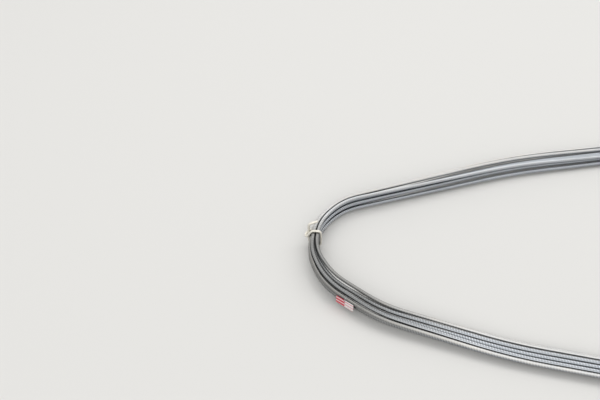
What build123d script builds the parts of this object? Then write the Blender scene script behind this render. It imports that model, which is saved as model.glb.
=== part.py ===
"""Reinforcing bars folded in half into a hairpin bundle, lying flat.

Ten ribbed bars of one length are bent together round one bend.  At the bend they
are packed tight and upright, in five rows of two, inside a ring of wire rod.  Along
the arms they slump into two loose layers of five, and further out they are gathered
again by more rings.  The bundle lies on the undersides of its rings.  A tag
hangs on a thin wire loop against the outer bars, where the near arm leaves the bend.

Millimetres, +Z up.  The origin is on the floor, at the centre of the bend's
circle.  The arms run along +X, the far arm at +Y and the near arm at -Y.
"""
from build123d import *
from math import atan2, ceil, cos, degrees, pi, radians, sin, sqrt, tan
import os

os.makedirs("parts", exist_ok=True)

# Bars
bar_d = 12.0  # nominal size; the rolled ribs are relief, finished elsewhere
bar_length = 12000.0
bar_count = 10
bar_sides = 8  # flats on the drawn section, which keeps the round bar's area
bar_gap = 0.5  # between bars that lie together

# Bend
bend_radius = 236.0  # to the middle of the bunch
bend_corners = 4  # equal turns that make up the round bend
bend_easing = 40.0  # how much tighter each of those turns is, so that a short straight joins them

# Arms, from the bend outward: straight run, then turn, until they lie parallel
far_runs = [587.0, 860.0]
far_turns = [9.3, 10.1]
far_radii = [1800.0, 2500.0]
near_runs = [123.0, 381.0, 640.0]
near_turns = [17.8, 6.6, 13.2]
near_radii = [400.0, 1500.0, 2000.0]
gather_x = 1750.0  # where both arms are tight in two layers again
gather_radius = 2000.0

# Sideways steps from each bar to the next where the layers lie loose, inner bar first
near_steps = [9.0, 7.2, 8.2, 6.8, 8.4, 6.6, 7.6, 7.0, 7.4]
far_steps = [6.4, 6.8, 6.4, 6.8, 6.4, 6.8, 6.5, 13.0, 6.2]

# How far the bunch has spread sideways and slumped down, corner by corner
bend_spread = [(0.0, 0.0), (0.0, 0.0), (0.0, 0.0), (0.6, 0.0)]
near_spread = [(0.75, 0.5), (1.0, 1.0), (1.0, 1.0)]
far_spread = [(1.0, 0.35), (1.0, 1.0)]

# How far the innermost bar has come away from the rest, corner by corner
near_stray = [12.0, 4.0, 0.0]
far_stray = [0.0, 0.0]

# Rings of wire rod
bend_rod_d = 8.0
arm_rod_d = 6.5
rod_sides = 8
rod_turn = 30.0  # most that a drawn rod turns at one point, in degrees
seat_gap = 0.6  # between a ring and the bars in it
arm_tie_xs = [1850.0, 3600.0, 5300.0]
bend_tie_share = 0.49  # how far round the bend it sits, from the far arm
bend_tail_rise = 68.0  # the long end stands up outside the bunch
bend_tail_reach = 27.0  # and then leans in over it
bend_stub_rise = 20.0  # the short end climbs past the wrap
bend_stub_reach = 6.0  # and ends inside the long end
arm_tail_rise = 22.0
arm_tail_reach = 24.0
arm_stub_rise = 10.0
arm_stub_reach = 10.0
wrap_gap = 1.0  # between the short end and the long end it wraps
tail_bend = 1.2  # radius of the long end's bend, in rod diameters
wrap_share = 0.38  # how far up from the long end's foot to the loop's top it is wrapped

# Tag, on a loop of thin wire round the outer two bars where the near arm leaves the bend
tag_length = 62.0
tag_width = 28.0
tag_thickness = 1.0
tag_corner = 3.0
tag_hole_d = 5.0
tag_hole_inset = 5.0
tag_bars = [8, 9]  # counted from 0, the inner bar
tag_past = 4.6  # past the point where the near arm leaves the bend, in degrees
tag_drop = 4.0  # from the middle of the upper bar down to the tag's hole
tag_wire_d = 1.4
tag_wire_gap = 0.5  # between the wire and what it passes
tag_wire_bend = 1.5  # radius where the wire goes through the tag

# Worked out from the above
bar_r = bar_d / 2
pitch = bar_d + bar_gap
half_pitch = pitch / 2
row_rise = pitch * sqrt(3) / 2
bend_floor = bend_rod_d + seat_gap + bar_r
arm_floor = arm_rod_d + seat_gap + bar_r
far_splay = sum(far_turns)
near_splay = sum(near_turns)
far_flank = 90 + far_splay
near_flank = 270 - near_splay


def flat_r(radius, sides):
    """Centre to flat of the regular polygon that has a circle's area."""
    return radius * sqrt(pi / (sides * tan(pi / sides)))


def drawn_corners(route):
    """Where a rod along the route is drawn to turn: its arcs become short straights outside them."""
    corners = []
    for edge in route.edges():
        if edge.geom_type == GeomType.CIRCLE:
            turn = edge.length / edge.radius
            cuts = ceil(degrees(turn) / rod_turn - 0.01)
            reach = 1 / cos(turn / cuts / 2)
            corners += [
                edge.arc_center + (edge @ ((i + 0.5) / cuts) - edge.arc_center) * reach
                for i in range(cuts)
            ]
    return corners


# Each bar's seat in the bunch, as half pitches across and rows up, inner bar first.
# Every second bar goes to the bottom layer of the arms, and the others ride on it.
bunch = [(-1, 0), (-1, 4), (-1, 2), (0, 3), (0, 1), (1, 2), (1, 0), (1, 4), (2, 1), (2, 3)]
bunch_middle = sum(column for column, row in bunch) / bar_count


def tight_bunch():
    """Seats of the bars at the bend, as (outward, height)."""
    return [((column - bunch_middle) * half_pitch, bend_floor + row * row_rise) for column, row in bunch]


def two_layers(steps):
    """Seats of the bars on an arm: each top bar rides on the nearest bottom bar."""
    across = [sum(steps[:k]) for k in range(bar_count)]
    middle = sum(across) / bar_count
    beds = [a - middle for a in across[0::2]]
    seats = []
    for k, a in enumerate(across):
        outward = a - middle
        beside = min(abs(outward - bed) for bed in beds)
        rise = sqrt(max(pitch**2 - beside**2, 0)) if k % 2 else 0
        seats.append((outward, arm_floor + rise))
    return seats


def between(first, last, sideways, down):
    """Seats on the way from one packing to another."""
    return [
        (a[0] + (b[0] - a[0]) * sideways, a[1] + (b[1] - a[1]) * down)
        for a, b in zip(first, last)
    ]


bunched = tight_bunch()
near_loose = two_layers(near_steps)
far_loose = two_layers(far_steps)
gathered = two_layers([half_pitch] * (bar_count - 1))


def arm_corners(side, splay, runs, turns, radii, loose, spread, stray):
    """Corners of one arm from the bend outward: x, y, outward normal, radius, seats."""
    flank = radians(90 + splay)
    x, y = bend_radius * cos(flank), bend_radius * sin(flank)
    heading = splay
    corners = []
    for run, turn, radius, (sideways, down), away in zip(runs, turns, radii, spread, stray):
        x += run * cos(radians(heading))
        y += run * sin(radians(heading))
        middle = radians(heading - turn / 2)
        stretch = 1 / cos(radians(turn / 2))
        normal = (-sin(middle) * stretch, side * cos(middle) * stretch)
        seats = between(bunched, loose, sideways, down)
        seats[0] = (seats[0][0] - away, seats[0][1])
        corners.append((x, side * y, normal, radius, seats))
        heading -= turn
    corners.append((gather_x, side * y, (0, side), gather_radius, gathered))
    return corners


def bend_corner_list():
    """Corners of the round bend, far side first."""
    turn = (near_flank - far_flank) / bend_corners
    stretch = 1 / cos(radians(turn / 2))
    looser = [far_loose, bunched, bunched, near_loose]
    corners = []
    for k, (sideways, down) in enumerate(bend_spread):
        angle = radians(far_flank + (k + 0.5) * turn)
        normal = (cos(angle) * stretch, sin(angle) * stretch)
        seats = between(bunched, looser[k], sideways, down)
        x, y = bend_radius * normal[0], bend_radius * normal[1]
        corners.append((x, y, normal, bend_radius - bend_easing, seats))
    return corners


far_arm = arm_corners(
    1, far_splay, far_runs, far_turns, far_radii, far_loose, far_spread, far_stray
)
near_arm = arm_corners(
    -1, near_splay, near_runs, near_turns, near_radii, near_loose, near_spread, near_stray
)
corners = far_arm[::-1] + bend_corner_list() + near_arm
far_y = far_arm[-1][1]
near_y = near_arm[-1][1]


def bar_points(k, far_end, near_end):
    """The route of bar k, with its ends at the given x."""
    points = [
        (x + normal[0] * seats[k][0], y + normal[1] * seats[k][0], seats[k][1])
        for x, y, normal, radius, seats in corners
    ]
    first, last = points[0], points[-1]
    return [(far_end, first[1], first[2])] + points + [(near_end, last[1], last[2])]


def bar_radii(k):
    return [radius + seats[k][0] for x, y, normal, radius, seats in corners]


def bar_route(k, far_end, near_end):
    return FilletPolyline(*bar_points(k, far_end, near_end), radius=bar_radii(k), mode=Mode.PRIVATE)


def bar_at(k, angle):
    """Place and heading of bar k at an angle round the bend."""
    route = bar_route(k, trial_end, trial_end).wire()
    before, after = 0.0, 1.0
    for halving in range(40):
        share = (before + after) / 2
        point = route @ share
        if degrees(atan2(point.Y, point.X)) % 360 < angle:
            before = share
        else:
            after = share
    return point, route % share


# Both ends of a bar are cut where its length runs out, so outer bars end shorter
trial_end = bar_length / 2
for k in range(bar_count):
    spare = bar_length - bar_route(k, trial_end, trial_end).length
    end = trial_end + spare / 2
    with BuildPart() as bar:
        with BuildLine() as route:
            add(bar_route(k, end, end))
        with BuildSketch(Plane(origin=route.line @ 0, x_dir=(0, 1, 0), z_dir=route.line % 0)):
            RegularPolygon(flat_r(bar_r, bar_sides), bar_sides, major_radius=False, rotation=180 / bar_sides)
        sweep()
    name = f"bar_{k + 1:02d}"
    bar.part.label = name
    export_step(bar.part, f"parts/{name}.step")
    print(name, "ends at", round(end), "length", round(route.wire().length, 1))


def hull_corners(seats):
    """The seats that a tight loop round them turns at, anticlockwise from the lowest."""
    ordered = sorted(set(seats))
    chains = []
    for run in (ordered, ordered[::-1]):
        chain = []
        for c in run:
            while len(chain) > 1:
                a, b = chain[-2], chain[-1]
                if (b[0] - a[0]) * (c[1] - b[1]) - (b[1] - a[1]) * (c[0] - b[0]) > 0.01:
                    break
                chain.pop()
            chain.append(c)
        chains.append(chain[:-1])
    return chains[0] + chains[1]


def loop_points(seats, clear):
    """Corners of the loop that keeps the given distance outside the seats."""
    hull = hull_corners(seats)
    points = []
    for before, here, after in zip(hull[-1:] + hull[:-1], hull, hull[1:] + hull[:1]):
        into = atan2(here[1] - before[1], here[0] - before[0])
        out = atan2(after[1] - here[1], after[0] - here[0])
        na, nb = (sin(into), -cos(into)), (sin(out), -cos(out))
        share = clear / (1 + na[0] * nb[0] + na[1] * nb[1])
        points.append((here[0] + share * (na[0] + nb[0]), here[1] + share * (na[1] + nb[1])))
    return points


def tie_points(seats, rod_d, tail_rise, tail_reach, stub_rise, stub_reach):
    """Route of a tie of wire rod round the seats, as (along, outward, height).

    The long end stands up outside the bunch and leans in over it.  The rod goes down,
    under and back over the bunch, wraps once round the long end and stops as a stub.
    """
    clear = bar_r + seat_gap + rod_d / 2
    loop = loop_points(seats, clear)
    out = max(range(len(loop)), key=lambda i: loop[i][0])
    wrap = rod_d + wrap_gap
    post, foot = loop[out]
    top = max(height for outward, height in loop)
    bight = foot + (top - foot) * wrap_share
    under = loop[out::-1]
    over = [corner for corner in loop[:out:-1] if corner[1] >= bight]
    points = [(-wrap, post - tail_reach, foot + tail_rise + rod_d), (0, post, foot + tail_rise)]
    points += [(0, outward, height) for outward, height in under]
    points += [(wrap * (i + 1) / len(over), *corner) for i, corner in enumerate(over)]
    points += [(wrap, post + wrap, bight), (-wrap, post + wrap, bight + rod_d / 2)]
    points += [(-wrap, post - stub_reach, bight + stub_rise)]
    radii = [tail_bend * rod_d] + [clear] * len(under + over) + [rod_d + wrap_gap / 2] * 2
    return points, radii


def tie_solid(seats, rod_d, middle, outward, along, *ends):
    """A tie as one solid, at a point on the bunch with its outward and along directions."""
    local, radii = tie_points(seats, rod_d, *ends)
    points = [
        (middle[0] + a * along[0] + u * outward[0], middle[1] + a * along[1] + u * outward[1], w)
        for a, u, w in local
    ]
    route = FilletPolyline(*points, radius=radii)
    with BuildPart() as tie:
        with BuildLine() as path:
            Polyline(points[0], *drawn_corners(route), points[-1])
        with BuildSketch(Plane(origin=path.wire() @ 0, z_dir=path.wire() % 0)):
            RegularPolygon(flat_r(rod_d / 2, rod_sides), rod_sides, major_radius=False)
        sweep(transition=Transition.RIGHT)
    return tie.part


# Tie at the bend
tie_angle = far_flank + (near_flank - far_flank) * bend_tie_share
tie_out = (cos(radians(tie_angle)), sin(radians(tie_angle)))
tied = [bar_at(k, tie_angle)[0] for k in range(bar_count)]
tie_middle = sum(tied, Vector()) * (1 / bar_count)
bend_tie = tie_solid(
    bunched, bend_rod_d, (tie_middle.X, tie_middle.Y), tie_out, (-tie_out[1], tie_out[0]),
    bend_tail_rise, bend_tail_reach, bend_stub_rise, bend_stub_reach,
)
bend_tie.label = "bend_tie"
export_step(bend_tie, "parts/bend_tie.step")
print("bend_tie volume", round(bend_tie.volume), bend_tie.is_valid)

# Ties on the arms
arm_ties = [
    tie_solid(
        gathered, arm_rod_d, (x, arm_y), (0, side), (-side, 0),
        arm_tail_rise, arm_tail_reach, arm_stub_rise, arm_stub_reach,
    )
    for side, arm_y in ((1, far_y), (-1, near_y))
    for x in arm_tie_xs
]
for tie in arm_ties:
    print("arm tie volume", round(tie.volume), tie.is_valid)
export_step(Compound(label="arm_ties", children=arm_ties), "parts/arm_ties.step")


# Where the tag is wired, on a plane across the outermost bar
tag_angle = near_flank + tag_past
wired = [bar_at(k, tag_angle) for k in tag_bars]
outer_place, outer_heading = wired[-1]
tag_along = Vector(outer_heading.X, outer_heading.Y).normalized()
tag_out = Vector(tag_along.Y, -tag_along.X)
tag_spot = tag_along * outer_place.dot(tag_along)
lower, upper = [(place.dot(tag_out), place.Z) for place, heading in wired]

# Layers outward from the upper bar: wire, tag, wire again
wire_clear = bar_r + tag_wire_gap + tag_wire_d / 2
behind_tag = upper[0] + wire_clear
tag_face = behind_tag + tag_wire_d / 2 + tag_wire_gap
tag_front = tag_face + tag_thickness
before_tag = tag_front + tag_wire_gap + tag_wire_d / 2
hole_height = upper[1] - tag_drop
cross_half = (before_tag - behind_tag) / 2
cross_height = hole_height + tag_wire_gap

# Wire: one loop round the outer two bars, which comes in through the tag's hole
inner_lean = atan2(upper[0] - lower[0], upper[1] - lower[1])
inner_side = lower[0] - wire_clear / cos(inner_lean) - lower[1] * tan(inner_lean)
crown = upper[1] + wire_clear
foot = lower[1] - wire_clear
wire_points = [
    (inner_side + foot * tan(inner_lean), foot),
    (behind_tag, foot),
    (behind_tag, cross_height - cross_half),
    (before_tag, cross_height + cross_half),
    (before_tag, crown),
    (inner_side + crown * tan(inner_lean), crown),
]
wire_radii = [wire_clear, bar_r, tag_wire_bend, tag_wire_bend, bar_r, wire_clear]
wire_route = FilletPolyline(*wire_points, radius=wire_radii, close=True)
wire_corners = [(corner.X, corner.Y) for corner in drawn_corners(wire_route)]
wire_start = [(a + b) / 2 for a, b in zip(wire_corners[0], wire_corners[-1])]
with BuildPart() as tag_wire:
    with BuildLine(Plane(origin=tag_spot, x_dir=tag_out, z_dir=-tag_along)) as loop:
        Polyline(tuple(wire_start), *wire_corners, close=True)
    with BuildSketch(Plane(origin=loop.wire() @ 0, z_dir=loop.wire() % 0)):
        RegularPolygon(flat_r(tag_wire_d / 2, rod_sides), rod_sides, major_radius=False)
    sweep(transition=Transition.RIGHT)
tag_wire.part.label = "tag_wire"
export_step(tag_wire.part, "parts/tag_wire.step")
print("tag_wire volume", round(tag_wire.part.volume), tag_wire.part.is_valid)

# Tag: a card that hangs upright by the hole in its upper edge
tag_hole = tag_spot + tag_out * tag_face + Vector(0, 0, hole_height)
with BuildPart() as tag:
    with BuildSketch(Plane(origin=tag_hole, x_dir=tag_along, z_dir=tag_out)):
        with Locations((0, tag_hole_inset - tag_width / 2)):
            RectangleRounded(tag_length, tag_width, tag_corner)
        Circle(tag_hole_d / 2, mode=Mode.SUBTRACT)
    extrude(amount=tag_thickness)
tag.part.label = "tag"
export_step(tag.part, "parts/tag.step")
print("tag volume", round(tag.part.volume), tag.part.is_valid)
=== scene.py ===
# %% [markdown]
# # A hairpin bundle of reinforcing bars
#
# Ten ribbed steel bars, 12 m long and 12 mm thick, are folded together round one bend and
# tied with rings of wire rod.  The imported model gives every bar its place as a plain
# eight-sided sweep.  This lesson reads each bar's centre line off that sweep, rolls the
# ribs on to it as real mesh, draws the rings as round rod, and gives every piece the
# finish that it has in a steel yard.

# %% Load the fixed frame
import math

import bpy
import numpy as np
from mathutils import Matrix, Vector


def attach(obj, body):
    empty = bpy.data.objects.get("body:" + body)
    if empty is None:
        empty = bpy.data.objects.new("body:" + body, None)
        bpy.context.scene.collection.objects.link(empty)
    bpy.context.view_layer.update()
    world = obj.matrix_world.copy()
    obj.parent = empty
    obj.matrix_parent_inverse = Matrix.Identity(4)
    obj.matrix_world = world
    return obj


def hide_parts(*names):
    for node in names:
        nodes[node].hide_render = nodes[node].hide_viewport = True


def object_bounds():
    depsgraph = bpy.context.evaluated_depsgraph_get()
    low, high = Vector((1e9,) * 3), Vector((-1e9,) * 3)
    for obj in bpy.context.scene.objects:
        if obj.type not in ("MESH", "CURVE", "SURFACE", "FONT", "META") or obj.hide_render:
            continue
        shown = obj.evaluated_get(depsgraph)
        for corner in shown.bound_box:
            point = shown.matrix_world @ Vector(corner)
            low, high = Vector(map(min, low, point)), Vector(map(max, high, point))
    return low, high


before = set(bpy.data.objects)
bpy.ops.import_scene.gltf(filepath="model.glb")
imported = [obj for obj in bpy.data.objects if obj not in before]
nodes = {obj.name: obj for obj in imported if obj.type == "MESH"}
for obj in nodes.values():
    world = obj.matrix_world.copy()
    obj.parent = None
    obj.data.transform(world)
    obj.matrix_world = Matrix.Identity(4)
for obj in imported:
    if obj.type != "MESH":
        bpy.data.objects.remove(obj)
cad_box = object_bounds()
bar_names = sorted(name for name in nodes if name.startswith("bar_"))
print("nodes:", sorted(nodes), "box:", [tuple(round(v, 3) for v in corner) for corner in cad_box])

# %% [markdown]
# ## Small helpers
#
# Lengths in this file are millimetres where a real size is named, and Blender works in
# metres, so one constant turns them.  Colours are sRGB hex, as a paint chart gives them,
# and one function turns them to the linear values that the shaders want.

# %% Millimetres, colours and nodes
MM = 0.001


def linear(hex_colour):
    """An sRGB hex colour as linear red, green, blue and alpha."""
    parts = [int(hex_colour[i:i + 2], 16) / 255 for i in (1, 3, 5)]
    return [p / 12.92 if p <= 0.04045 else ((p + 0.055) / 1.055) ** 2.4 for p in parts] + [1.0]


def add_node(tree, kind, inputs=None, **settings):
    """A new shader node with its settings and links.

    An input is a value, a hex colour, a socket, or a node, which gives its first output in use.
    """
    node = tree.nodes.new(kind)
    for name, value in settings.items():
        setattr(node, name, value)
    for socket, value in (inputs or {}).items():
        if isinstance(value, bpy.types.Node):
            value = next(output for output in value.outputs if output.enabled)
        if isinstance(value, bpy.types.NodeSocket):
            tree.links.new(value, node.inputs[socket])
        else:
            node.inputs[socket].default_value = linear(value) if isinstance(value, str) else value
    return node


def new_material(name):
    """An empty material and its tree."""
    material = bpy.data.materials.new(name)
    material.use_nodes = True
    material.node_tree.nodes.clear()
    return material, material.node_tree


# input sockets of the Mix node when it mixes colours
MIX_FACTOR, MIX_A, MIX_B = 0, 6, 7
print("linear mid grey:", [round(v, 3) for v in linear("#808080")])

# %% [markdown]
# ## Camera
#
# The view is from standing height, beside the bend, looking across the bundle and down
# on it.  The arms run out of the picture to the right.  The lens is a plain 45 mm.

# %% Place the camera
CAMERA_AT = (-0.280, -1.665, 1.734)
CAMERA_DOWN = 42.0
LENS = 45.0

camera = bpy.data.objects.new("camera", bpy.data.cameras.new("camera"))
bpy.context.scene.collection.objects.link(camera)
camera.location = CAMERA_AT
camera.rotation_euler = (math.radians(90 - CAMERA_DOWN), 0, 0)
camera.data.lens = LENS
camera.data.sensor_width = 36.0
bpy.context.scene.camera = camera
print("camera looks down by", CAMERA_DOWN, "degrees")

# %% [markdown]
# ## Read a bar's centre line off its solid
#
# A bar could be drawn again from its sizes, but then it might miss the solid that it
# stands for.  Slicing the solid is safer: planes across the arms and planes that fan
# round the bend each cut it in one small ring, and the middle of that ring is a point of
# the centre line.  A little smoothing takes out the flats of the mesh.

# %% Slice and smooth
ARM_STEP = 25 * MM
FAN_STEP = 2.5
LINE_STEP = 4 * MM
SMOOTHING = 12 * MM


def corners_of(obj):
    """The mesh's triangles as an array of corner positions."""
    mesh = obj.data
    mesh.calc_loop_triangles()
    points = np.empty(len(mesh.vertices) * 3)
    mesh.vertices.foreach_get("co", points)
    index = np.empty(len(mesh.loop_triangles) * 3, dtype=np.int64)
    mesh.loop_triangles.foreach_get("vertices", index)
    return points.reshape(-1, 3)[index].reshape(-1, 3, 3)


def ring_middle(triangles, normal, offset, side):
    """The middle of the ring that an upright plane cuts, on the given side of the origin."""
    height = triangles @ normal - offset
    cuts = []
    for a, b in ((0, 1), (1, 2), (2, 0)):
        crossing = height[:, a] * height[:, b] < 0
        share = height[crossing, a] / (height[crossing, a] - height[crossing, b])
        start, end = triangles[crossing, a], triangles[crossing, b]
        cuts.append(start + (end - start) * share[:, None])
    cuts = np.concatenate(cuts)
    cuts = cuts[cuts @ side > 0]
    across = np.cross((0, 0, 1), normal)
    reach = cuts @ across
    middle = (reach.min() + reach.max()) / 2 * across + offset * np.asarray(normal)
    middle[2] = (cuts[:, 2].min() + cuts[:, 2].max()) / 2
    return middle


def centre_line(obj):
    """Evenly spaced points along a bar, from its far end round the bend to its near end."""
    triangles = corners_of(obj)
    points = triangles.reshape(-1, 3)
    line = []
    for side in (1, -1):
        end = points[points[:, 1] * side > 0][:, 0].max()
        stations = np.append(np.arange(0.0, end - ARM_STEP / 2, ARM_STEP), end - 0.01 * MM)
        arm = [ring_middle(triangles, np.array([1.0, 0, 0]), x, np.array([0, side, 0])) for x in stations]
        if side == 1:
            line += arm[::-1]
            for angle in np.radians(np.arange(90 + FAN_STEP, 270, FAN_STEP)):
                out = np.array([math.cos(angle), math.sin(angle), 0])
                line.append(ring_middle(triangles, np.array([-out[1], out[0], 0]), 0.0, out))
        else:
            line += arm
    return np.array(line)


def along(line):
    """The distance of each point from the line's start."""
    return np.append(0.0, np.cumsum(np.linalg.norm(np.diff(line, axis=0), axis=1)))


def resampled(line, step):
    """The same line with points at even steps."""
    distance = along(line)
    at = np.linspace(0, distance[-1], int(round(distance[-1] / step)) + 1)
    return np.stack([np.interp(at, distance, line[:, k]) for k in range(3)], axis=1)


def smoothed(line, step, width):
    """The line under a bell-shaped average, with both ends kept."""
    reach = int(3 * width / step)
    weights = np.exp(-0.5 * (np.arange(-reach, reach + 1) * step / width) ** 2)
    weights /= weights.sum()
    before = 2 * line[0] - line[reach:0:-1]
    after = 2 * line[-1] - line[-2:-reach - 2:-1]
    padded = np.concatenate([before, line, after])
    return np.stack([np.convolve(padded[:, k], weights, "valid") for k in range(3)], axis=1)


lines = {}
for name in bar_names:
    lines[name] = smoothed(resampled(centre_line(nodes[name]), LINE_STEP), LINE_STEP, SMOOTHING)
    print(name, "centre line", round(float(along(lines[name])[-1]), 3), "m,", len(lines[name]), "points")

# %% [markdown]
# ## Roll the ribs
#
# The bar comes hot out of the last pair of grooved rolls, which press two rows of
# crescent ribs and leave a straight rib along each side where the rolls meet.  Each
# crescent is tallest in its middle and runs out at the straight ribs.  At ten bars of
# 1,500 ribs each, real ribs are affordable if a rib takes three rings of ten corners: its
# foot, its crest and its other foot.  Every ring is slanted, by sliding its corners along
# the bar, so that a rib leans as the rolled ones do.

# %% Sizes of the ribs
CORE_RADIUS = 5.45
TIP_RADIUS = 6.2
SIDE_RIB_RADIUS = 6.05
# The straight ribs are rubbed bright and also carry a painted highlight; 1 is a crescent's crest.
SIDE_RIB_WEAR_AND_HIGHLIGHT = 0.7  # how rubbed the straight ribs are, where 1 is a crescent's crest
CRESCENT_POWER = 0.7  # below 1, a crescent stays tall for longer before it runs out
RIB_PITCH = 8.0
RIB_FOOT = 1.6
RIB_LEAN = 2.6
END_MARGIN = 8.0
RING_ANGLES = np.radians([0, 24, 64, 116, 156, 180, 204, 244, 296, 336])
CORNERS = len(RING_ANGLES)
ROLL_PER_METRE = 0.35


def rib_profile():
    """Radius, lean and crest value of every corner, for a foot ring and a crest ring."""
    rise = np.abs(np.sin(RING_ANGLES)) ** CRESCENT_POWER
    side = np.abs(np.sin(RING_ANGLES)) < 0.01
    foot = np.where(side, SIDE_RIB_RADIUS, CORE_RADIUS)
    crest = np.where(side, SIDE_RIB_RADIUS, CORE_RADIUS + (TIP_RADIUS - CORE_RADIUS) * rise)
    lean = RIB_LEAN * np.cos(RING_ANGLES)
    return foot, crest, lean, np.where(side, SIDE_RIB_WEAR_AND_HIGHLIGHT, 0.0), np.where(side, SIDE_RIB_WEAR_AND_HIGHLIGHT, rise)


def ribbed_bar(name, line, roll):
    """A ribbed bar along a centre line, as one closed mesh."""
    foot, crest, lean, foot_value, crest_value = rib_profile()
    distance = along(line) / MM
    length = distance[-1]
    count = int((length - 2 * END_MARGIN) / RIB_PITCH)
    first = (length - (count - 1) * RIB_PITCH) / 2
    middles = first + RIB_PITCH * np.arange(count)
    rows = np.stack([middles - RIB_FOOT, middles, middles + RIB_FOOT], axis=1).reshape(-1, 1)
    at = np.concatenate([np.zeros((1, CORNERS)), rows + lean, np.full((1, CORNERS), length)])
    radius = np.concatenate([[foot], np.tile([foot, crest, foot], (count, 1)), [foot]])
    one_rib = [foot_value, crest_value, foot_value]
    value = np.concatenate([[foot_value], np.tile(one_rib, (count, 1)), [foot_value]])
    tangent = np.gradient(line, axis=0)
    tangent /= np.linalg.norm(tangent, axis=1)[:, None]
    spot = np.stack([np.interp(at, distance, line[:, k]) for k in range(3)], axis=2)
    ahead = np.stack([np.interp(at, distance, tangent[:, k]) for k in range(3)], axis=2)
    ahead /= np.linalg.norm(ahead, axis=2)[:, :, None]
    sideways = np.cross((0, 0, 1), ahead)
    sideways /= np.linalg.norm(sideways, axis=2)[:, :, None]
    up = np.cross(ahead, sideways)
    turn = RING_ANGLES + roll + ROLL_PER_METRE * at * MM
    points = spot + radius[:, :, None] * MM * (
        np.cos(turn)[:, :, None] * sideways + np.sin(turn)[:, :, None] * up
    )
    return tube_mesh(name, points, value, at * MM, turn * CORE_RADIUS * MM)


def tube_mesh(name, points, value, along_m, round_m):
    """A closed tube from rings of corners, with a crest value and a flat map of its skin."""
    rings, sides = points.shape[:2]
    corner = np.arange(rings * sides).reshape(rings, sides)
    after = np.roll(corner, -1, axis=1)
    quads = np.stack([corner[:-1], after[:-1], after[1:], corner[1:]], axis=2).reshape(-1, 4)
    caps = np.stack([corner[0][::-1], corner[-1]])
    mesh = bpy.data.meshes.new(name)
    mesh.vertices.add(rings * sides)
    mesh.vertices.foreach_set("co", points.reshape(-1))
    loops = np.concatenate([quads.reshape(-1), caps.reshape(-1)])
    mesh.loops.add(len(loops))
    mesh.loops.foreach_set("vertex_index", loops)
    starts = np.append(np.arange(len(quads)) * 4, len(quads) * 4 + np.array([0, sides]))
    mesh.polygons.add(len(starts))
    mesh.polygons.foreach_set("loop_start", starts)
    mesh.update(calc_edges=True)
    mesh.polygons.foreach_set("use_smooth", np.append(np.ones(len(quads), bool), [False, False]))
    crest_layer = mesh.attributes.new("crest", "FLOAT", "POINT")
    crest_layer.data.foreach_set("value", value.reshape(-1).astype(np.float32))
    skin = mesh.uv_layers.new(name="skin")
    map_u, map_v = along_m.reshape(-1)[loops], np.array(round_m.reshape(-1)[loops])
    wrap = 2 * math.pi * CORE_RADIUS * MM
    quad_v = map_v[:len(quads) * 4].reshape(-1, 4)
    quad_v[quad_v < quad_v.max(axis=1, keepdims=True) - wrap / 2] += wrap
    skin.data.foreach_set("uv", np.stack([map_u, map_v], axis=1).reshape(-1).astype(np.float32))
    mesh.validate()
    obj = bpy.data.objects.new(name, mesh)
    bpy.context.scene.collection.objects.link(obj)
    return obj


# %% [markdown]
# Each bar was rolled and folded on its own, so its ribs face another way.  A seeded
# generator gives each one its roll, the same in every run.  The outer bars, and the inner
# two on the near arm, lie in the open and catch the most dust, so each bar also carries
# how dusty it is on either arm, for its steel to read.

# %% Make the ten bars
DUST_FAR = [0.1, 0.3, 0.1, 0.15, 0.1, 0.1, 0.15, 0.6, 0.75, 0.85]
DUST_NEAR = [0.6, 0.6, 0.1, 0.15, 0.1, 0.1, 0.1, 0.15, 0.5, 0.65]
DUST_CHANGE = 200.0


def add_dust(bar, far, near):
    """Write how dusty each corner of a bar is, going over from one arm to the other."""
    places = np.empty(len(bar.data.vertices) * 3)
    bar.data.vertices.foreach_get("co", places)
    dust = np.interp(places[1::3], (-DUST_CHANGE * MM, DUST_CHANGE * MM), (near, far))
    layer = bar.data.attributes.new("dust", "FLOAT", "POINT")
    layer.data.foreach_set("value", dust.astype(np.float32))


chance = np.random.default_rng(12)
bars = []
for name, far, near in zip(bar_names, DUST_FAR, DUST_NEAR):
    bar = ribbed_bar(name + "_ribbed", lines[name], chance.uniform(0, math.pi))
    add_dust(bar, far, near)
    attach(bar, "root")
    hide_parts(name)
    bars.append(bar)
    print(bar.name, len(bar.data.polygons), "faces")

# %% [markdown]
# ## Draw the rings as round rod
#
# The rings are wire rod, bent by a machine: down one side of the bunch, under it, back
# over the top, and once round their own long end.  The solid of a ring is mitred at every
# small turn, so its corners come in neat octagons.  Walking from one cut end to the other,
# octagon by octagon, gives the path.  A smooth curve with a round bevel then makes the rod.

# %% Walk along a mitred rod
def rod_paths(obj):
    """The corner points of each rod in a mitred eight-sided sweep, from end to end."""
    mesh = obj.data
    keys = {}
    same = [keys.setdefault(tuple(round(c * 1e6) for c in v.co), len(keys)) for v in mesh.vertices]
    places = {same[v.index]: np.array(v.co) for v in mesh.vertices}
    parent = list(range(len(mesh.vertices)))

    def root(i):
        """The corner that stands for the whole flat face or tube that corner i is in."""
        while parent[i] != i:
            i = parent[i]
        return i

    beside = {key: set() for key in places}
    for polygon in mesh.polygons:
        corners = list(polygon.vertices)
        for a, b in zip(corners, corners[1:] + corners[:1]):
            parent[root(a)] = root(b)
            beside[same[a]].add(same[b])
            beside[same[b]].add(same[a])
    faces = {}
    for v in mesh.vertices:
        faces.setdefault(root(v.index), set()).add(same[v.index])
    ends = [face for face in faces.values() if len(face) == 8]
    paths, seen = [], set()
    for end in ends:
        if end & seen:
            continue
        ring, path = set(end), []
        while ring:
            path.append(np.mean([places[i] for i in ring], axis=0))
            seen |= ring
            ring = set().union(*(beside[i] for i in ring)) - seen
        paths.append(path)
    return paths


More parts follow.
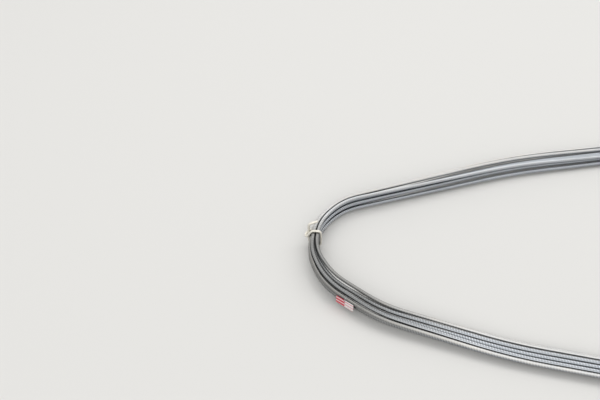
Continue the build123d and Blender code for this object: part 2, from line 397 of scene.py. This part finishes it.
def round_rod(name, path, diameter):
    """A round rod along a path of corners, as a mesh with flat cut ends."""
    curve = bpy.data.curves.new(name, "CURVE")
    curve.dimensions = "3D"
    curve.bevel_depth = diameter / 2 * MM
    curve.bevel_resolution = 4
    curve.resolution_u = 5
    curve.use_fill_caps = True
    spline = curve.splines.new("NURBS")
    spline.points.add(len(path) - 1)
    for point, place in zip(spline.points, path):
        point.co = (*place, 1.0)
    spline.order_u = 3
    spline.use_endpoint_u = True
    holder = bpy.data.objects.new(name, curve)
    bpy.context.scene.collection.objects.link(holder)
    bpy.context.view_layer.update()
    mesh = bpy.data.meshes.new_from_object(holder.evaluated_get(bpy.context.evaluated_depsgraph_get()))
    bpy.data.objects.remove(holder)
    rod = bpy.data.objects.new(name, mesh)
    bpy.context.scene.collection.objects.link(rod)
    return rod


BEND_ROD = 8.0
ARM_ROD = 6.5

ties = [round_rod("bend_tie_rod", rod_paths(nodes["bend_tie"])[0], BEND_ROD)]
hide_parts("bend_tie")
arm_paths = rod_paths(nodes["arm_ties"])
arm_rods = [round_rod(f"arm_tie_rod_{n}", path, ARM_ROD) for n, path in enumerate(arm_paths)]
corner_counts = [len(rod.data.vertices) for rod in ties + arm_rods]
print("rings:", len(corner_counts), "of", corner_counts, "corners")

# %% [markdown]
# The six rings on the arms share one solid node, so the six rods are joined as well.

# %% Join the arm rings
with bpy.context.temp_override(active_object=arm_rods[0], selected_editable_objects=arm_rods):
    bpy.ops.object.join()
arm_rods[0].name = "arm_tie_rods"
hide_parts("arm_ties")
ties.append(arm_rods[0])
for rod in ties:
    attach(rod, "root")
print("arm rings joined:", len(arm_rods[0].data.vertices), "corners")

# %% [markdown]
# ## Hot-rolled steel with mill scale
#
# The bars leave the mill red hot and cool in air, which leaves a thin blue-grey skin of
# iron oxide.  It is smoother and duller than bare steel.  Handling rubs it bright on the
# crests of the ribs, and a painted highlight brightens them further.  Painted shade darkens
# the feet of the ribs, and the gaps between the bars get painted shade that is nearly black.

# %% Mill scale
SCALE_DARK = "#98a1ac"
SCALE_PALE = "#dfe5ec"
# Near-white for the crests: rubbed steel with a painted highlight.
CREST_WEAR_AND_HIGHLIGHT = "#fafbfd"
# Painted shade for the feet of the ribs.
RIB_FOOT_PAINTED_SHADE = "#2b3036"
STREAK_LENGTH = 90.0
STREAK_WIDTH = 4.0


def scale_colour(tree):
    """Streaky mill scale: painted shade at the ribs' feet, and crests rubbed bright with a painted
    highlight.
    """
    stretched = add_node(tree, "ShaderNodeMapping", {
        "Vector": add_node(tree, "ShaderNodeUVMap", uv_map="skin"),
        "Scale": (1 / (STREAK_LENGTH * MM), 1 / (STREAK_WIDTH * MM), 1.0),
    })
    streaks = add_node(tree, "ShaderNodeTexNoise", {
        "Vector": stretched, "Scale": 1.0, "Detail": 4.0, "Roughness": 0.6,
    })
    tone = add_node(tree, "ShaderNodeMix", {
        MIX_FACTOR: streaks, MIX_A: SCALE_DARK, MIX_B: SCALE_PALE,
    }, data_type="RGBA")
    crest = add_node(tree, "ShaderNodeAttribute", attribute_name="crest").outputs["Fac"]
    # Painted shade: the feet of the ribs and the core between them are darkened.
    foot = add_node(tree, "ShaderNodeMapRange", {
        "Value": crest, "From Min": 0.0, "From Max": 0.5, "To Min": 0.5, "To Max": 0.0,
    })
    foot_shaded = add_node(tree, "ShaderNodeMix", {
        MIX_FACTOR: foot, MIX_A: tone, MIX_B: RIB_FOOT_PAINTED_SHADE,
    }, data_type="RGBA")
    # The crests are rubbed bright by handling, and a painted highlight makes them brighter.
    crest_wear_and_highlight = add_node(tree, "ShaderNodeMapRange", {
        "Value": crest, "From Min": 0.45, "From Max": 1.0, "To Min": 0.0, "To Max": 0.75,
    })
    worn_and_highlit = add_node(tree, "ShaderNodeMix", {
        MIX_FACTOR: crest_wear_and_highlight, MIX_A: foot_shaded, MIX_B: CREST_WEAR_AND_HIGHLIGHT,
    }, data_type="RGBA")
    return worn_and_highlit, streaks


# %% [markdown]
# Rust starts in freckles where the scale has chipped.  On the near half of the bend the skin
# is made duller and greyer than on the arms.

# %% Rust freckles and the dull bend
RUST = "#8a5a3c"
RUST_SPOT = 5.0
BEND_GREY = "#5b5a56"
BEND_DULL = 0.72


def rusted_scale(tree, place, scale):
    """The scale with rust freckles where it has chipped."""
    spots = add_node(tree, "ShaderNodeTexNoise", {
        "Vector": place, "Scale": 1 / (RUST_SPOT * MM), "Detail": 5.0, "Roughness": 0.65,
    })
    chipped = add_node(tree, "ShaderNodeMapRange", {
        "Value": spots, "From Min": 0.66, "From Max": 0.74, "To Min": 0.0, "To Max": 0.7,
    })
    return add_node(tree, "ShaderNodeMix", {
        MIX_FACTOR: chipped, MIX_A: scale, MIX_B: RUST,
    }, data_type="RGBA")


def dull_share(tree, place):
    """How dull the skin is: most round the bend, and only on its near half."""
    parts = add_node(tree, "ShaderNodeSeparateXYZ", {"Vector": place})
    by_bend = add_node(tree, "ShaderNodeMapRange", {
        "Value": parts.outputs["X"], "From Min": -0.1, "From Max": 0.2, "To Min": BEND_DULL, "To Max": 0.0,
    })
    by_near_side = add_node(tree, "ShaderNodeMapRange", {
        "Value": parts.outputs["Y"], "From Min": 0.0, "From Max": 0.12, "To Min": 1.0, "To Max": 0.0,
    })
    return add_node(tree, "ShaderNodeMath", {0: by_bend, 1: by_near_side}, operation="MULTIPLY")


print("rust freckles of about", RUST_SPOT, "mm")

# %% [markdown]
# Yard dust settles on what faces up, most of all on the bars that lie in the open, and its
# dry cream hides the blue of the scale.

# %% Dust
YARD_DUST = "#e0dacf"
DUST_PATCH = 60.0


def dust_share(tree, place):
    """How much of the skin is under dust: by bar, by distance, by what faces up, in patches."""
    share = add_node(tree, "ShaderNodeAttribute", attribute_name="dust").outputs["Fac"]
    along_arms = add_node(tree, "ShaderNodeSeparateXYZ", {"Vector": place}).outputs["X"]
    facing = add_node(tree, "ShaderNodeNewGeometry").outputs["Normal"]
    upward = add_node(tree, "ShaderNodeSeparateXYZ", {"Vector": facing}).outputs["Z"]
    patches = add_node(tree, "ShaderNodeTexNoise", {
        "Vector": place, "Scale": 1 / (DUST_PATCH * MM), "Detail": 6.0, "Roughness": 0.7,
    })
    for value, low, high, at_low, at_high in (
        (along_arms, 0.1, 1.2, 1.0, 0.5),
        (upward, -0.3, 0.6, 0.0, 1.0),
        (patches, 0.3, 0.6, 0.6, 1.0),
    ):
        layer = add_node(tree, "ShaderNodeMapRange", {
            "Value": value, "From Min": low, "From Max": high, "To Min": at_low, "To Max": at_high,
        })
        share = add_node(tree, "ShaderNodeMath", {0: share, 1: layer}, operation="MULTIPLY")
    return share


print("dust patches of about", DUST_PATCH, "mm")

# %% [markdown]
# The ends were sheared after rolling, so they show bare steel that has begun to rust.  Only
# the caps of the bars face squarely along the arms that far out, which is enough for the
# material to find them.

# %% Cut ends
CUT_BRIGHT = "#b9b4ac"
CUT_RUSTED = "#7d5a43"
CUT_CLOUD = 6.0
CUT_ENDS_PAST = 5300.0
SQUARE_ON = 0.9


def sheared_share(tree, place):
    """1 on the cut ends of the bars, which face along the arms at their far end, and 0 elsewhere."""
    facing = add_node(tree, "ShaderNodeNewGeometry").outputs["Normal"]
    outward = add_node(tree, "ShaderNodeSeparateXYZ", {"Vector": facing}).outputs["X"]
    square_on = add_node(tree, "ShaderNodeMath", {0: outward, 1: SQUARE_ON}, operation="GREATER_THAN")
    along_arms = add_node(tree, "ShaderNodeSeparateXYZ", {"Vector": place}).outputs["X"]
    far_out = add_node(tree, "ShaderNodeMath", {
        0: along_arms, 1: CUT_ENDS_PAST * MM,
    }, operation="GREATER_THAN")
    return add_node(tree, "ShaderNodeMath", {0: square_on, 1: far_out}, operation="MULTIPLY")


print("cut ends lie past", CUT_ENDS_PAST, "mm")

# %% [markdown]
# The layers go over one another: scale, rust, dust, the dull bend, painted shade in the gaps
# and last the cut ends.  Ambient Occlusion measures how open a spot is, so the painted shade
# keeps to the gaps between bars and to what lies close under a tie.  Mill scale is an oxide on
# steel and only partly metallic, and dust takes most of that away.  The grain in the bump is
# drawn coarser than the real one, which would be too fine to show.

# %% The steel of the bars
# Nearly black painted shade for the gaps between bars.
GAP_PAINTED_SHADE = "#121417"
GAP_REACH = 18.0
GRAIN = 0.9
SCALE_METALLIC = 0.6
DUST_METALLIC = 0.1
SCALE_SMOOTH = 0.27
SCALE_ROUGH = 0.42


def hot_rolled_steel():
    """Mill scale, rust, dust, the dull bend, painted shade in the gaps and the cut ends, one over the
    other.
    """
    material, tree = new_material("hot_rolled_steel_mill_scale")
    place = add_node(tree, "ShaderNodeTexCoord").outputs["Object"]
    scale, streaks = scale_colour(tree)
    dust = dust_share(tree, place)
    dusty = add_node(tree, "ShaderNodeMix", {
        MIX_FACTOR: dust, MIX_A: rusted_scale(tree, place, scale), MIX_B: YARD_DUST,
    }, data_type="RGBA")
    dulled = add_node(tree, "ShaderNodeMix", {
        MIX_FACTOR: dull_share(tree, place), MIX_A: dusty, MIX_B: BEND_GREY,
    }, data_type="RGBA")
    # Painted shade: Ambient Occlusion darkens the gaps between bars, and what lies close under a tie,
    # nearly to black.
    open_air = add_node(tree, "ShaderNodeAmbientOcclusion", {"Distance": GAP_REACH * MM}, samples=8)
    gap_shade_share = add_node(tree, "ShaderNodeMapRange", {
        "Value": open_air.outputs["AO"], "From Min": 0.22, "From Max": 0.73, "To Min": 1.0, "To Max": 0.0,
    })
    gap_shaded = add_node(tree, "ShaderNodeMix", {
        MIX_FACTOR: gap_shade_share, MIX_A: dulled, MIX_B: GAP_PAINTED_SHADE,
    }, data_type="RGBA")
    clouds = add_node(tree, "ShaderNodeTexNoise", {
        "Vector": place, "Scale": 1 / (CUT_CLOUD * MM), "Detail": 4.0, "Roughness": 0.7,
    })
    cut_face = add_node(tree, "ShaderNodeMix", {
        MIX_FACTOR: clouds, MIX_A: CUT_BRIGHT, MIX_B: CUT_RUSTED,
    }, data_type="RGBA")
    finished = add_node(tree, "ShaderNodeMix", {
        MIX_FACTOR: sheared_share(tree, place), MIX_A: gap_shaded, MIX_B: cut_face,
    }, data_type="RGBA")
    grain = add_node(tree, "ShaderNodeTexNoise", {
        "Vector": place, "Scale": 1 / (GRAIN * MM), "Detail": 2.0,
    })
    metallic = add_node(tree, "ShaderNodeMapRange", {
        "Value": dust, "From Min": 0.0, "From Max": 0.8,
        "To Min": SCALE_METALLIC, "To Max": DUST_METALLIC,
    })
    roughness = add_node(tree, "ShaderNodeMapRange", {
        "Value": streaks, "From Min": 0.3, "From Max": 0.7,
        "To Min": SCALE_SMOOTH, "To Max": SCALE_ROUGH,
    })
    bump = add_node(tree, "ShaderNodeBump", {"Height": grain, "Strength": 0.25, "Distance": 0.1 * MM})
    shader = add_node(tree, "ShaderNodeBsdfPrincipled", {
        "Base Color": finished, "Metallic": metallic, "Roughness": roughness, "Normal": bump,
    })
    add_node(tree, "ShaderNodeOutputMaterial", {"Surface": shader})
    return material


bar_steel = hot_rolled_steel()
for bar in bars:
    bar.data.materials.append(bar_steel)
print("bars finished with", bar_steel.name)

# %% [markdown]
# ## Pale wire rod
#
# The rings are newer and cleaner than the bars: bright wire rod with a thin dry film of
# lime from drawing, which makes it look cream beside the blue of the bars.

# %% Limed wire rod
ROD_BRIGHT = "#f6f3ea"
ROD_DULL = "#d5cfc1"
ROD_STREAK = 6.0


def limed_wire_rod():
    """Cream rod with a cloudy dry film."""
    material, tree = new_material("limed_wire_rod")
    place = add_node(tree, "ShaderNodeTexCoord").outputs["Object"]
    film = add_node(tree, "ShaderNodeTexNoise", {
        "Vector": place, "Scale": 1 / (ROD_STREAK * MM), "Detail": 5.0, "Roughness": 0.6,
    })
    tone = add_node(tree, "ShaderNodeMix", {
        MIX_FACTOR: film, MIX_A: ROD_BRIGHT, MIX_B: ROD_DULL,
    }, data_type="RGBA")
    roughness = add_node(tree, "ShaderNodeMapRange", {
        "Value": film, "From Min": 0.3, "From Max": 0.7, "To Min": 0.32, "To Max": 0.5,
    })
    bump = add_node(tree, "ShaderNodeBump", {"Height": film, "Strength": 0.2, "Distance": 0.2 * MM})
    shader = add_node(tree, "ShaderNodeBsdfPrincipled", {
        "Base Color": tone, "Metallic": 0.35, "Roughness": roughness, "Normal": bump,
    })
    add_node(tree, "ShaderNodeOutputMaterial", {"Surface": shader})
    return material


tie_rod = limed_wire_rod()
for rod in ties:
    rod.data.materials.clear()
    rod.data.materials.append(tie_rod)
    rod.data.polygons.foreach_set("use_smooth", [len(p.vertices) == 4 for p in rod.data.polygons])
print("rings finished with", tie_rod.name)

# %% [markdown]
# ## Tag and its wire
#
# The tag is a stiff plastic card, printed red on the half by its bend end and white with
# pale bands on the other.  It keeps its own solid, which has the right shape already, and
# gets the print as plain fields and bands with no lettering.

# %% Printed card and galvanised wire
CARD_WHITE = "#f4f0ee"
CARD_RED = "#d92f4c"
CARD_PINK = "#ee9dab"
CARD_GRIME = "#c9c2b9"
BAND_PITCH = 12.0
BAND_SHARE = 0.3
CARD_SCUFF = 9.0
WIRE_ZINC = "#b5b8ba"
WIRE_SPANGLE = 2.0


def card_axis():
    """The card's long direction, pointing away from the bend, and its middle."""
    points = corners_of(nodes["tag"]).reshape(-1, 3)
    middle = (points.min(axis=0) + points.max(axis=0)) / 2
    axis = np.linalg.svd(points - points.mean(axis=0), full_matrices=False)[2][0]
    return axis * np.sign(axis[0]), middle


def printed_card():
    """A card in two fields with bands across them, scuffed with grime."""
    material, tree = new_material("printed_plastic_card")
    axis, middle = card_axis()
    place = add_node(tree, "ShaderNodeTexCoord").outputs["Object"]
    along_card = add_node(tree, "ShaderNodeVectorMath", {0: place, 1: tuple(axis)}, operation="DOT_PRODUCT")
    red_side = add_node(tree, "ShaderNodeMath", {
        0: along_card, 1: float(middle @ axis),
    }, operation="LESS_THAN")
    height = add_node(tree, "ShaderNodeSeparateXYZ", {"Vector": place}).outputs["Z"]
    pitches = add_node(tree, "ShaderNodeMath", {0: height, 1: 1 / (BAND_PITCH * MM)}, operation="MULTIPLY")
    within = add_node(tree, "ShaderNodeMath", {0: pitches}, operation="FRACT")
    band = add_node(tree, "ShaderNodeMath", {0: within, 1: BAND_SHARE}, operation="LESS_THAN")
    white_half = add_node(tree, "ShaderNodeMix", {
        MIX_FACTOR: band, MIX_A: CARD_WHITE, MIX_B: CARD_PINK,
    }, data_type="RGBA")
    red_half = add_node(tree, "ShaderNodeMix", {
        MIX_FACTOR: band, MIX_A: CARD_RED, MIX_B: CARD_WHITE,
    }, data_type="RGBA")
    field = add_node(tree, "ShaderNodeMix", {
        MIX_FACTOR: red_side, MIX_A: white_half, MIX_B: red_half,
    }, data_type="RGBA")
    scuffs = add_node(tree, "ShaderNodeTexNoise", {
        "Vector": place, "Scale": 1 / (CARD_SCUFF * MM), "Detail": 6.0, "Roughness": 0.7,
    })
    scuffed = add_node(tree, "ShaderNodeMapRange", {
        "Value": scuffs, "From Min": 0.45, "From Max": 0.8, "To Min": 0.0, "To Max": 0.5,
    })
    soiled = add_node(tree, "ShaderNodeMix", {
        MIX_FACTOR: scuffed, MIX_A: field, MIX_B: CARD_GRIME,
    }, data_type="RGBA")
    shader = add_node(tree, "ShaderNodeBsdfPrincipled", {
        "Base Color": soiled, "Roughness": 0.42, "IOR": 1.49,
    })
    add_node(tree, "ShaderNodeOutputMaterial", {"Surface": shader})
    return material


def galvanised_wire():
    """Zinc-coated wire with a faint spangle in its gloss."""
    material, tree = new_material("galvanised_wire")
    place = add_node(tree, "ShaderNodeTexCoord").outputs["Object"]
    spangle = add_node(tree, "ShaderNodeTexNoise", {
        "Vector": place, "Scale": 1 / (WIRE_SPANGLE * MM), "Detail": 3.0,
    })
    roughness = add_node(tree, "ShaderNodeMapRange", {
        "Value": spangle, "From Min": 0.3, "From Max": 0.7, "To Min": 0.3, "To Max": 0.45,
    })
    shader = add_node(tree, "ShaderNodeBsdfPrincipled", {
        "Base Color": WIRE_ZINC, "Metallic": 0.9, "Roughness": roughness,
    })
    add_node(tree, "ShaderNodeOutputMaterial", {"Surface": shader})
    return material


for name, finish in (("tag", printed_card()), ("tag_wire", galvanised_wire())):
    nodes[name].data.materials.clear()
    nodes[name].data.materials.append(finish)
    print(name, "finished with", finish.name)

# %% [markdown]
# ## Floor, backdrop and light
#
# A bundle like this lies in a yard, but the part is shown on a plain pale floor.  A wide
# soft light stands over it, as an overcast sky does, and gives each bar one bright line
# along its top.  A second one in front lights the flanks of the bars, and the gaps between
# them stay dark.  The floor that is seen is paler than the floor that throws light back, so
# that it reads as pale and its glow doesn't wash out the undersides of the bars.

# %% Floor and world
FLOOR_SEEN = "#d6d5d2"
FLOOR_THROWN_BACK = "#8d8c89"
FLOOR_SIZE = 100.0
WORLD_FILL = 0.7

floor_mesh = bpy.data.meshes.new("floor")
half = FLOOR_SIZE / 2
level = cad_box[0][2] - 0.2 * MM
corners = [(-half, -half, level), (half, -half, level), (half, half, level), (-half, half, level)]
floor_mesh.from_pydata(corners, [], [(0, 1, 2, 3)])
floor = bpy.data.objects.new("floor", floor_mesh)
bpy.context.scene.collection.objects.link(floor)


def seen_or_mirrored(tree):
    """1 for what the camera sees, straight on, in a gloss or through glass, and 0 for the rest."""
    ray = add_node(tree, "ShaderNodeLightPath")
    share = ray.outputs["Is Camera Ray"]
    for name in ("Is Glossy Ray", "Is Transmission Ray"):
        share = add_node(tree, "ShaderNodeMath", {0: share, 1: ray.outputs[name]}, operation="MAXIMUM")
    return share


pale_floor, tree = new_material("pale_floor")
floor_colour = add_node(tree, "ShaderNodeMix", {
    MIX_FACTOR: seen_or_mirrored(tree), MIX_A: FLOOR_THROWN_BACK, MIX_B: FLOOR_SEEN,
}, data_type="RGBA")
floor_shader = add_node(tree, "ShaderNodeBsdfPrincipled", {"Base Color": floor_colour, "Roughness": 0.9})
add_node(tree, "ShaderNodeOutputMaterial", {"Surface": floor_shader})
floor.data.materials.append(pale_floor)

world = bpy.data.worlds.new("studio")
bpy.context.scene.world = world
world.use_nodes = True
tree = world.node_tree
tree.nodes.clear()
strength = add_node(tree, "ShaderNodeMapRange", {
    "Value": seen_or_mirrored(tree), "From Min": 0.0, "From Max": 1.0, "To Min": WORLD_FILL, "To Max": 1.0,
})
sky = add_node(tree, "ShaderNodeBackground", {"Color": "#ffffff", "Strength": strength})
add_node(tree, "ShaderNodeOutputWorld", {"Surface": sky})
print("floor at", round(level / MM, 2), "mm")

# %% Lamps
def soft_light(name, place, target, size, power):
    """A rectangular area lamp aimed at a point, with its length along X before it is aimed."""
    lamp = bpy.data.objects.new(name, bpy.data.lights.new(name, "AREA"))
    lamp.data.shape = "RECTANGLE"
    lamp.data.size, lamp.data.size_y = size
    lamp.data.energy = power
    lamp.location = place
    away = np.array(place, float) - np.array(target, float)
    flat = math.hypot(away[0], away[1])
    lamp.rotation_euler = (math.atan2(flat, away[2]), 0, math.atan2(away[1], away[0]) + math.pi / 2)
    bpy.context.scene.collection.objects.link(lamp)
    return lamp


soft_light("sky_panel", (2.4, 2.6, 6.0), (2.4, 0.3, 0.0), (14.0, 3.6), 290.0)
soft_light("side_panel", (-1.5, -6.5, 4.5), (1.2, 0.2, 0.0), (7.0, 4.0), 170.0)

bpy.context.scene.view_settings.view_transform = "Standard"
print("lamps placed")
